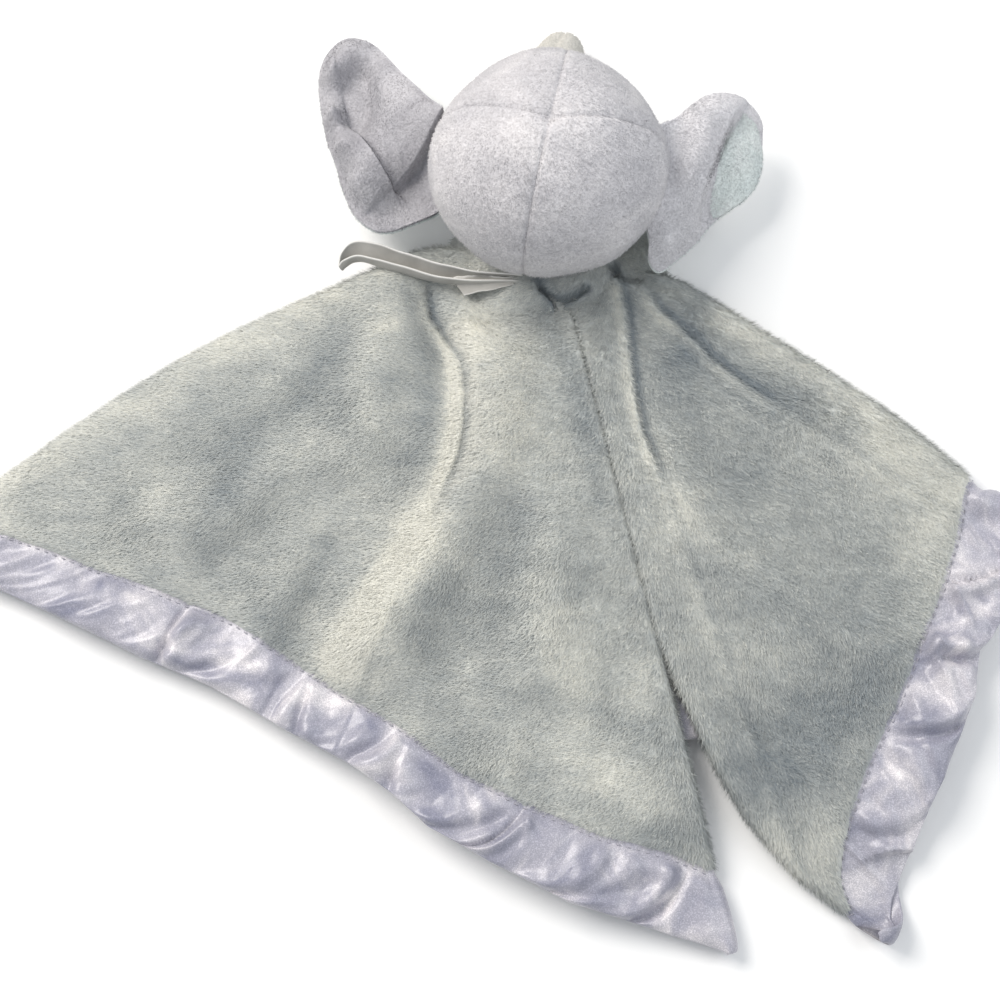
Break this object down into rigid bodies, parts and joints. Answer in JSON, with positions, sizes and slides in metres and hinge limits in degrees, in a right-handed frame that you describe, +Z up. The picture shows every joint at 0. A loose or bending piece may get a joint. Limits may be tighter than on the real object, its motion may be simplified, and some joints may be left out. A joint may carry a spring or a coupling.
{
  "type": "comfort blanket lovey",
  "caption": "Square plush comfort blanket with satin edges, folded to one side of a stuffed long-nosed animal head with floppy ears, a bendable trunk and blank labels.",
  "frame": {"origin": "on the resting plane, under the gathered centre of the blanket at the neck", "axes": "+Z up from the resting plane, +Y the way the face looks, +X to the right of someone behind the head"},
  "size_m": [0.387, 0.3261, 0.0755],
  "materials": {
    "mint_plush": "deep pile plush",
    "lavender_satin": "satin",
    "lavender_plush": "short pile plush",
    "ear_plush": "short pile plush",
    "ear_lining": "short pile plush",
    "nose_plush": "short pile plush",
    "fibre": "polyester filling",
    "thread": "satin stitch",
    "label_tape": "woven tape"
  },
  "bodies": {
    "blanket": {"blanket_plush": "mint_plush", "binding_left": "lavender_satin", "binding_pleat": "lavender_satin", "binding_right": "lavender_satin", "binding_under": "lavender_satin", "small_label": "label_tape"},
    "care_label": {"care_label": "label_tape"},
    "neck": {"neck_patch": "lavender_plush"},
    "head": {"back_panel_left": "lavender_plush", "back_panel_right": "lavender_plush", "face_panel_left": "lavender_plush", "face_panel_right": "lavender_plush", "head_stuffing": "fibre", "left_eye": "thread", "right_eye": "thread"},
    "trunk": {"trunk_skin": "nose_plush", "trunk_stuffing": "fibre"},
    "left_ear": {"left_ear_outer": "ear_plush", "left_ear_lining": "ear_lining"},
    "right_ear": {"right_ear_outer": "ear_plush", "right_ear_lining": "ear_lining"}
  },
  "joints": [
    {"name": "head_turn", "type": "hinge", "parent": "blanket", "child": "neck", "pos_m": [0, 0.004, 0.012], "axis": [0, 0, 1], "range_deg": [-10, 10], "stiffness_Nm_per_rad": 0.6},
    {"name": "head_nod", "type": "hinge", "parent": "neck", "child": "head", "pos_m": [0, 0.004, 0.012], "axis": [1, 0, 0], "range_deg": [0, 35], "stiffness_Nm_per_rad": 0.6},
    {"name": "trunk_bend", "type": "hinge", "parent": "head", "child": "trunk", "pos_m": [0.001, 0.063, 0.02], "axis": [1, 0, 0], "range_deg": [-10, 20], "stiffness_Nm_per_rad": 0.2},
    {"name": "left_ear_flop", "type": "hinge", "parent": "head", "child": "left_ear", "pos_m": [-0.0365, 0.028, 0.0405], "axis": [-0.028, -0.8828, -0.4689], "range_deg": [-35, 0], "stiffness_Nm_per_rad": 0.1},
    {"name": "right_ear_flop", "type": "hinge", "parent": "head", "child": "right_ear", "pos_m": [0.034, 0.021, 0.04], "axis": [0.055, -0.8707, -0.4888], "range_deg": [0, 40], "stiffness_Nm_per_rad": 0.1},
    {"name": "label_lift", "type": "hinge", "parent": "blanket", "child": "care_label", "pos_m": [-0.015, -0.008, 0.012], "axis": [0.127, 0.5959, 0.7929], "range_deg": [0, 25], "stiffness_Nm_per_rad": 0.02}
  ]
}
